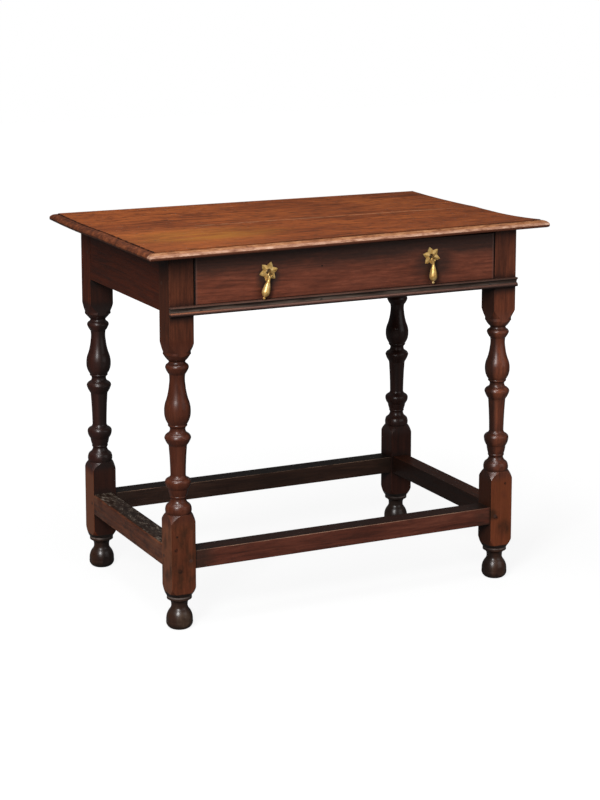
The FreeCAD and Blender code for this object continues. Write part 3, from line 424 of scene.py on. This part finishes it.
def drawer_marks(g, p, colour):
    """Dirt and painted shade along the top, painted shade at the ends of the drawer front, dirt round the
    handles, an old nail hole.
    """
    ragged = g.noise(p, (12, 42, 42), 4.0, 0.66)
    # Dirt and painted shade along the top, under the overhang of the table top.
    high = g.plus(g.height(*DRAWER_TOP_DIRT_AND_SHADE), g.swing(ragged, 1.3))
    shade = g.product(g.span(high, 0.05, 0.9), 0.82)
    left = g.ball(LEFT_HANDLE_DIRT, 0.014, 0.034, (1.0, 0.0, 0.85))
    right = g.ball(RIGHT_HANDLE_DIRT, 0.018, 0.060, (0.9, 0.0, 1.0))
    halo = g.product(g.math("MAXIMUM", left, right), g.span(ragged, 0.2, 0.6, 0.6, 1.0))
    colour = g.mix(g.math("MAXIMUM", shade, g.times(halo, 0.9)), colour, linear(44, 32, 27))
    across = g.math("ABSOLUTE", g.math("SUBTRACT", g.along("X"), DRAWER_MIDDLE_X))
    colour = g.stain(colour, g.band(across, *DRAWER_ARRIS, 0.0012), linear(112, 84, 76), 0.3)
    # Painted shade: the ends of the drawer front near-black, standing for the dark slits beside the legs.
    colour = g.mix(g.span(across, *DRAWER_END), colour, linear(22, 14, 11))
    return g.mix(g.ball(OLD_NAIL_HOLE, 0.0012, 0.0022, (1, 0, 1)), colour, linear(14, 10, 9))


def moulding_marks(g, p, colour):
    """Grey dust with a painted sheen in the hollow of the strip, painted shade in the groove above it, on
    its underside and along its right part, a painted highlight on its bead.
    """
    streak = g.noise(p, (14, 190, 190), 3.0, 0.6)
    # Painted shade darkens the strip's right part; the bead's painted highlight is brightest at the left
    # end.
    right_end = g.span(g.along("X"), *STRIP_RIGHT, 0.0, 0.5, smooth=True)
    left_end = g.span(g.along("X"), *STRIP_LEFT, smooth=True)
    # Grey dust with a painted sheen in the hollow.
    dust_and_sheen = g.ramp(streak, (0.35, 44, 38, 34), (0.52, 88, 77, 68), (0.70, 122, 108, 98))
    dust_and_sheen = g.mix(right_end, dust_and_sheen, linear(44, 34, 29))
    colour = g.stain(colour, g.height(*STRIP_HOLLOW), dust_and_sheen, 0.85)
    # Painted shade in the groove.
    colour = g.stain(colour, g.band(g.along("Z"), *STRIP_GROOVE, 0.0008), linear(24, 18, 16), 0.85)
    fillet = g.mix(right_end, linear(104, 68, 56), linear(60, 40, 33))
    colour = g.stain(colour, g.height(*STRIP_FILLET), fillet, 0.7)
    # Painted highlight along the top of the bead.
    bead_highlight = g.mix(left_end, linear(150, 116, 104), linear(182, 118, 88))
    bead = g.stain(linear(74, 46, 38), g.band(g.along("Z"), *BEAD_HIGHLIGHT, 0.0010), bead_highlight, 0.75)
    bead = g.mix(right_end, bead, linear(52, 34, 28))
    colour = g.stain(colour, g.height(*STRIP_BEAD), bead, 0.8)
    # Painted shade on the underside of the strip.
    return g.stain(colour, g.height(*STRIP_UNDERSIDE), linear(30, 18, 14), 0.85)


def leg_marks(spots=(), stains=(), top_dirt_and_shade=0.0, turned_share=0.0, turned_tone=(34, 22, 21),
              lower_block_lit=0.0, lit_left_side=0.0, shaded_left_side=0.0, smudges=0.0):
    """A foot scuffed grey with painted shade in its neck and a painted highlight on its rim, a painted
    shadow under the strip, dirt and painted shade at the leg's top, painted light and shade on its blocks,
    and its own darker parts.

    Spots and stains are each given as x and z on the leg's front and a radius, turned_tone as 0-255
    values, the rest as shares.
    """
    def mark(g, p, colour):
        ragged = g.noise(g.place, (50, 50, 22), 4.0, 0.66)
        if turned_share:
            turned = g.product(g.height(*TURNED_FROM), g.height(*TURNED_TO))
            colour = g.stain(colour, turned, linear(*turned_tone), turned_share)
        # Dirt and painted shade on the leg's upper part, under the table top.
        if top_dirt_and_shade:
            top = g.product(g.height(*LEG_TOP_DIRT_AND_SHADE), g.span(ragged, 0.2, 0.6, 0.6, 1.0))
            colour = g.stain(colour, top, PAINTED_SHADE, top_dirt_and_shade)
        # Painted light: a lighter, redder tone on the lower block.
        if lower_block_lit:
            block = g.product(g.height(*LOWER_BLOCK_LIT), g.span(ragged, 0.25, 0.6))
            colour = g.stain(colour, block, linear(132, 68, 38), lower_block_lit)
        # Painted light: the left faces of the lower block paler.
        if lit_left_side:
            side = g.product(g.height(*LOWER_BLOCK_SIDE), g.left_faces())
            colour = g.stain(colour, side, linear(154, 100, 70), lit_left_side)
        # Painted shade: the left faces of the upper block darker.
        if shaded_left_side:
            side = g.product(g.height(*UPPER_BLOCK_SIDE), g.left_faces())
            colour = g.stain(colour, side, PAINTED_SHADE, shaded_left_side)
        for x, z, radius in stains:
            stain = g.product(g.ball((x, FRONT_Y, z), 0.3 * radius, radius), g.span(ragged, 0.3, 0.55))
            colour = g.stain(colour, stain, linear(46, 32, 22), 0.75)
        if smudges:
            block = g.product(g.height(*LOWER_BLOCK_SMUDGES), g.span(ragged, 0.46, 0.64))
            colour = g.stain(colour, block, linear(50, 33, 22), smudges)
        # Painted shadow on the leg's front under the moulded strip.
        strip = g.product(g.height(*UNDER_STRIP_END), g.height(*UNDER_STRIP),
                          g.span(g.facing("Y"), -0.5, -0.9))
        colour = g.stain(colour, strip, PAINTED_SHADE, 0.75)
        grey = g.ramp(ragged, (0.3, 25, 18, 14), (0.52, 42, 31, 24), (0.74, 76, 60, 48))
        colour = g.stain(colour, g.height(*FOOT), grey, 0.85)
        # Painted shade: a near-black band in the neck above the foot.
        colour = g.stain(colour, g.band(g.along("Z"), *FOOT_NECK, 0.0012), linear(12, 8, 6), 0.8)
        # Painted highlight: a pale grey line along the foot's rim.
        rim_highlight = g.product(g.band(g.along("Z"), *FOOT_RIM_HIGHLIGHT, 0.0010), g.span(ragged, 0.3, 0.55))
        colour = g.stain(colour, rim_highlight, linear(138, 126, 120), 0.6)
        speckle = g.span(g.noise(g.place, (220, 220, 220)), 0.25, 0.55)
        for x, z, radius in spots:
            spot = g.product(g.ball((x, FRONT_Y, z), 0.3 * radius, radius), speckle)
            colour = g.stain(colour, spot, linear(26, 17, 14), 0.9)
        return colour
    return mark


def worn_top_face(g, p, colour):
    """A stretcher where feet have rested: a dirty top with pale scuffs, a mottled outer face."""
    ragged = g.noise(g.place, (60, 26, 60), 4.0, 0.68)
    colour = g.mix(g.span(ragged, 0.52, 0.68, 0.0, 0.6), colour, linear(38, 27, 21))
    near_legs = g.math("MAXIMUM", g.span(g.along("Y"), *LEFT_STRETCHER_FRONT),
                       g.span(g.along("Y"), *LEFT_STRETCHER_BACK))
    colour = g.stain(colour, g.product(near_legs, g.span(ragged, 0.54, 0.44)), linear(134, 92, 66), 0.30)
    scuff = g.plus(g.noise(g.place, (170, 70, 170), 4.0, 0.7), g.times(near_legs, 0.05))
    dusty = g.ramp(scuff, (0.38, 20, 15, 12), (0.53, 40, 31, 25), (0.62, 92, 82, 72), (0.74, 150, 142, 132))
    return g.stain(colour, g.span(g.facing("Z"), 0.62, 0.95, smooth=True), dusty, 0.92)


def dark_top_face(g, p, colour):
    """A stretcher whose top is black with old dirt, with rubbed arrises beside it."""
    up = g.facing("Z")
    streak = g.noise(g.place, (16, 60, 60), 3.0, 0.6)
    arris = g.product(g.band(up, 0.30, 0.72, 0.12), g.span(streak, 0.34, 0.56))
    colour = g.stain(colour, arris, linear(176, 142, 118), 0.75)
    beside_legs = g.span(g.away_from_middle("X"), *STRETCHER_ENDS, smooth=True)
    colour = g.stain(colour, g.product(beside_legs, g.span(streak, 0.3, 0.55)), linear(44, 32, 25), 0.75)
    return g.stain(colour, g.span(up, 0.86, 0.98, smooth=True), linear(22, 16, 13), 0.85)


# ---------------------------------------------------------------- other materials
def brass():
    """Old brass: bright where hands polish it, brown in the hollows and round the pins."""
    g = Graph("aged_brass")
    blotch = g.noise(g.place, (140, 140, 140), 3.0, 0.6)
    colour = g.ramp(blotch, (0.3, 176, 126, 62), (0.5, 226, 182, 106), (0.72, 246, 216, 152))
    darkened_hollows = g.product(g.hollows(0.004), 0.9)
    colour = g.mix(darkened_hollows, colour, linear(74, 46, 24))
    for x, z in PINS:
        around = g.ball((x, PIN_Y, z), 0.0044, 0.0060, (1, 0, 1))
        colour = g.stain(colour, around, linear(104, 70, 36), 0.6)
        eye = g.product(around, g.span(g.along("Y"), *PIN_EYE_Y))
        colour = g.stain(colour, eye, linear(48, 29, 17), 0.9)
    colour = g.stain(colour, g.worn_edges(0.0006), linear(246, 218, 156), 0.5)
    roughness = g.plus(g.span(blotch, 0.3, 0.7, 0.32, 0.44), g.times(darkened_hollows, 0.25))
    g.shader.inputs["Metallic"].default_value = 0.6
    return g.finish(colour, roughness, g.bump(g.noise(g.place, (900, 900, 900)), 0.0003, 0.1))


def iron():
    """Dark nail iron with some rust."""
    g = Graph("dark_iron")
    blotch = g.noise(g.place, (400, 400, 400), 3.0, 0.6)
    colour = g.ramp(blotch, (0.35, 20, 16, 14), (0.6, 44, 32, 26), (0.8, 72, 44, 30))
    g.shader.inputs["Metallic"].default_value = 0.5
    return g.finish(colour, g.span(blotch, 0.3, 0.7, 0.5, 0.75), g.bump(blotch, 0.0004, 0.6))


def speckled(name, dark, light):
    """The end of a peg, or of a nail under wax: fine dark and light grains."""
    g = Graph(name)
    grains = g.noise(g.place, (700, 700, 700), 3.0, 0.6)
    colour = g.ramp(grains, (0.3, *dark), (0.7, *light))
    return g.finish(colour, g.span(grains, 0.3, 0.7, 0.45, 0.6), g.bump(grains, 0.0006, 0.5))


# ---------------------------------------------------------------- what each piece is made of
# Tones of each group, 0-255: dark, middle and light wood, worn arrises, dirt.
TOP_TONES = ((76, 37, 16), (126, 62, 28), (156, 84, 37), (140, 84, 48), (58, 32, 18))
FRAME_TONES = ((58, 30, 20), (87, 45, 29), (112, 61, 40), (128, 76, 52), (22, 14, 11))
RIGHT_TONES = ((68, 35, 23), (106, 55, 36), (132, 72, 46), (142, 84, 56), (22, 14, 11))
LEFT_BACK_TONES = ((60, 27, 17), (90, 41, 25), (111, 54, 33), (124, 72, 48), (27, 21, 19))
BACK_TONES = ((42, 22, 17), (64, 32, 23), (80, 42, 31), (88, 52, 40), (24, 16, 13))
APRON_TONES = ((52, 22, 12), (80, 34, 18), (96, 43, 24), (104, 56, 36), (22, 14, 10))
FRONT_TONES = ((84, 43, 30), (121, 63, 44), (144, 80, 58), (136, 84, 66), (27, 18, 14))
LOW_TONES = ((58, 29, 21), (92, 46, 33), (114, 62, 46), (150, 108, 84), (24, 16, 12))
LEFT_LOW_TONES = ((60, 30, 19), (97, 52, 32), (122, 70, 46), (140, 98, 74), (22, 15, 11))
DARK_LOW_TONES = ((38, 23, 17), (58, 37, 28), (76, 50, 38), (112, 82, 66), (20, 14, 11))
RIGHT_LOW_TONES = ((42, 20, 11), (60, 29, 16), (78, 38, 22), (70, 44, 32), (16, 11, 9))
INSIDE_TONES = ((92, 64, 42), (128, 94, 64), (150, 114, 82), (160, 126, 94), (60, 42, 28))

TOP_LOOK = {"fineness": 1.25, "contrast": 1.3, "patches": 0.4, "flecks": 0.9, "fleck_size": (42, 88, 88),
            "darkened_hollows": 0.5, "wax": 0.05, "rough": 0.5}
LEG_LOOK = {"inside": 0.8, "wax": 0.5, "wax_rough": 0.28, "relief": 0.06, "deepest": 0.72, "turned": True,
            "contrast": 0.75, "patches": 0.4, "flecks": 0.45, "fleck_size": (34, 90, 90)}
RAIL_LOOK = {"inside": 0.6, "wax": 0.05, "contrast": 0.8, "flecks": 0.4}
LOW_LOOK = {"inside": 0.75, "wax": 0.12, "contrast": 0.9, "flecks": 0.45}
BACK_LOW_LOOK = {"inside": 0.25, "wax": 0.12, "contrast": 0.9, "flecks": 0.4}
FRONT_LOOK = {"wax": 0.05, "fineness": 1.8, "patches": 0.25, "contrast": 0.9, "flecks": 0.5,
              "fleck_size": (48, 190, 190)}
BARE_LOOK = {"wax": 0.0, "rough": 0.6, "darkened_hollows": 0.5}

FRONT_LEFT_MARKS = leg_marks(
    spots=((-0.354, 0.155, 0.005), (-0.346, 0.114, 0.006), (-0.352, 0.180, 0.003)),
    stains=((-0.320, 0.132, 0.020),),
    top_dirt_and_shade=0.6, turned_share=0.35, turned_tone=(66, 25, 12),
    lower_block_lit=0.2, lit_left_side=0.3, shaded_left_side=0.3, smudges=0.7)
FRONT_RIGHT_MARKS = leg_marks(
    spots=((0.327, 0.128, 0.007), (0.347, 0.195, 0.004)),
    stains=((0.318, 0.135, 0.016), (0.345, 0.105, 0.022)),
    top_dirt_and_shade=0.25, lower_block_lit=0.7, smudges=0.3)
BACK_LEFT_MARKS = leg_marks(turned_share=0.75, lit_left_side=0.38)
BACK_RIGHT_MARKS = leg_marks()

# Node: grain direction, tones, look and marks. The order gives each piece its own figure.
OAK = {
    "top_front_board": ("x", TOP_TONES, TOP_LOOK, front_board_marks),
    "top_back_board": ("x", TOP_TONES, TOP_LOOK, board_marks),
    "front_left_leg": ("z", FRAME_TONES, {**LEG_LOOK, "wax": 0.28}, FRONT_LEFT_MARKS),
    "front_right_leg": ("z", RIGHT_TONES, {**LEG_LOOK, "wax": 0.45}, FRONT_RIGHT_MARKS),
    "back_left_leg": ("z", LEFT_BACK_TONES, {**LEG_LOOK, "wax": 0.32}, BACK_LEFT_MARKS),
    "back_right_leg": ("z", BACK_TONES, {**LEG_LOOK, "inside": 0.4}, BACK_RIGHT_MARKS),
    "left_apron": ("y", APRON_TONES, RAIL_LOOK, None),
    "right_apron": ("y", APRON_TONES, RAIL_LOOK, None),
    "back_apron": ("x", APRON_TONES, RAIL_LOOK, None),
    "front_rail": ("x", FRAME_TONES, RAIL_LOOK, None),
    "rail_moulding": ("x", FRAME_TONES, {}, moulding_marks),
    "front_stretcher": ("x", LOW_TONES, LOW_LOOK, dark_top_face),
    "back_stretcher": ("x", DARK_LOW_TONES, BACK_LOW_LOOK, dark_top_face),
    "left_stretcher": ("y", LEFT_LOW_TONES, LOW_LOOK, worn_top_face),
    "right_stretcher": ("y", RIGHT_LOW_TONES, LOW_LOOK, None),
    "drawer_front": ("x", FRONT_TONES, FRONT_LOOK, drawer_marks),
    "drawer_left_side": ("y", INSIDE_TONES, BARE_LOOK, None),
    "drawer_right_side": ("y", INSIDE_TONES, BARE_LOOK, None),
    "drawer_back": ("x", INSIDE_TONES, BARE_LOOK, None),
    "drawer_bottom": ("y", INSIDE_TONES, BARE_LOOK, None),
    "left_drawer_runner": ("y", INSIDE_TONES, BARE_LOOK, None),
    "right_drawer_runner": ("y", INSIDE_TONES, BARE_LOOK, None),
    "left_drawer_guide": ("y", INSIDE_TONES, BARE_LOOK, None),
    "right_drawer_guide": ("y", INSIDE_TONES, BARE_LOOK, None),
    "drawer_stops": ("x", INSIDE_TONES, BARE_LOOK, None),
}


def dress(material, *nodes):
    for node in nodes:
        mesh = NODES[node].data
        mesh.materials.clear()
        mesh.materials.append(material)


def dress_all():
    for number, (node, (grain, tones, look, marks)) in enumerate(OAK.items()):
        dress(oak("oak_" + node, grain, 1.0 + number, tones, look, marks), node)
    dress(speckled("peg_ends", (44, 24, 17), (88, 50, 35)), "top_pegs", "apron_pegs", "stretcher_pegs")
    dress(speckled("waxed_over_nails", (42, 35, 30), (66, 56, 49)), "moulding_nails")
    dress(iron(), "guide_nails", "drawer_nails")
    pieces = [f"{side}_handle_{piece}" for side in ("left", "right") for piece in ("plate", "pin", "drop")]
    dress(brass(), *pieces)


# ---------------------------------------------------------------- camera, floor and light
def put_in_scene(name, data):
    item = bpy.data.objects.new(name, data)
    bpy.context.scene.collection.objects.link(item)
    return item


def make_camera():
    data = bpy.data.cameras.new("camera")
    data.sensor_width = SENSOR
    data.lens = LENS_PIXELS / IMAGE_HEIGHT * SENSOR
    data.shift_y = SHIFT_Y
    data.clip_start = NEAR_CLIP
    camera = put_in_scene("camera", data)
    level = math.cos(PITCH)
    forward = Vector((math.sin(YAW) * level, math.cos(YAW) * level, -math.sin(PITCH)))
    right = Vector((math.cos(YAW), -math.sin(YAW), 0.0))
    turn = Matrix((right, right.cross(forward), -forward)).transposed()
    camera.matrix_world = Matrix.Translation(EYE) @ turn.to_4x4()
    bpy.context.scene.camera = camera


def make_floor():
    """A pale floor: white to the camera, a little darker round the table, dim in reflections."""
    mesh = bpy.data.meshes.new("floor")
    corners = [(-FLOOR_SIZE, -FLOOR_SIZE, 0), (FLOOR_SIZE, -FLOOR_SIZE, 0),
               (FLOOR_SIZE, FLOOR_SIZE, 0), (-FLOOR_SIZE, FLOOR_SIZE, 0)]
    mesh.from_pydata(corners, [], [(0, 1, 2, 3)])
    floor = put_in_scene("floor", mesh)
    g = Graph("pale_floor")
    g.feed(g.shader.inputs["Base Color"], (FLOOR_GREY, FLOOR_GREY, FLOOR_GREY, 1.0))
    g.feed(g.shader.inputs["Roughness"], FLOOR_ROUGHNESS)
    g.feed(g.shader.inputs["Emission Color"], (1.0, 1.0, 1.0, 1.0))
    path = g.node("ShaderNodeLightPath")
    glow = g.span(g.length(g.place), FLOOR_NEAR, FLOOR_FAR, FLOOR_NEAR_GLOW, FLOOR_FAR_GLOW)
    seen = g.times(path.outputs["Is Camera Ray"], glow)
    mirrored = g.times(path.outputs["Is Glossy Ray"], FLOOR_MIRRORED)
    g.feed(g.shader.inputs["Emission Strength"], g.plus(seen, mirrored))
    g.material.cycles.emission_sampling = "NONE"
    mesh.materials.append(g.material)


def make_world():
    """White to the camera, dim in reflections and through glass, nearly dark as a light."""
    world = bpy.data.worlds.new("studio")
    bpy.context.scene.world = world
    world.use_nodes = True
    tree = world.node_tree
    background = tree.nodes["Background"]
    background.inputs["Color"].default_value = (1.0, 1.0, 1.0, 1.0)
    path = tree.nodes.new("ShaderNodeLightPath")
    earlier = None
    for ray, strength in (("Is Glossy Ray", WORLD_MIRRORED), ("Is Transmission Ray", WORLD_MIRRORED),
                          ("Is Camera Ray", WORLD_SEEN)):
        choice = tree.nodes.new("ShaderNodeMix")
        tree.links.new(path.outputs[ray], choice.inputs["Factor"])
        if earlier is None:
            choice.inputs["A"].default_value = WORLD_LIGHT
        else:
            tree.links.new(earlier, choice.inputs["A"])
        choice.inputs["B"].default_value = strength
        earlier = choice.outputs["Result"]
    tree.links.new(earlier, background.inputs["Strength"])


def make_lamps():
    for name, (place, aim, (width, height), power, mirrored) in LAMPS.items():
        data = bpy.data.lights.new(name, "AREA")
        data.shape = "RECTANGLE"
        data.size = width
        data.size_y = height
        data.energy = power
        lamp = put_in_scene(name, data)
        lamp.location = place
        lamp.rotation_euler = (Vector(aim) - Vector(place)).to_track_quat("-Z", "Y").to_euler()
        lamp.visible_glossy = mirrored


make_camera()
make_floor()
make_world()
make_lamps()
dress_all()
bpy.context.scene.view_settings.view_transform = "Standard"
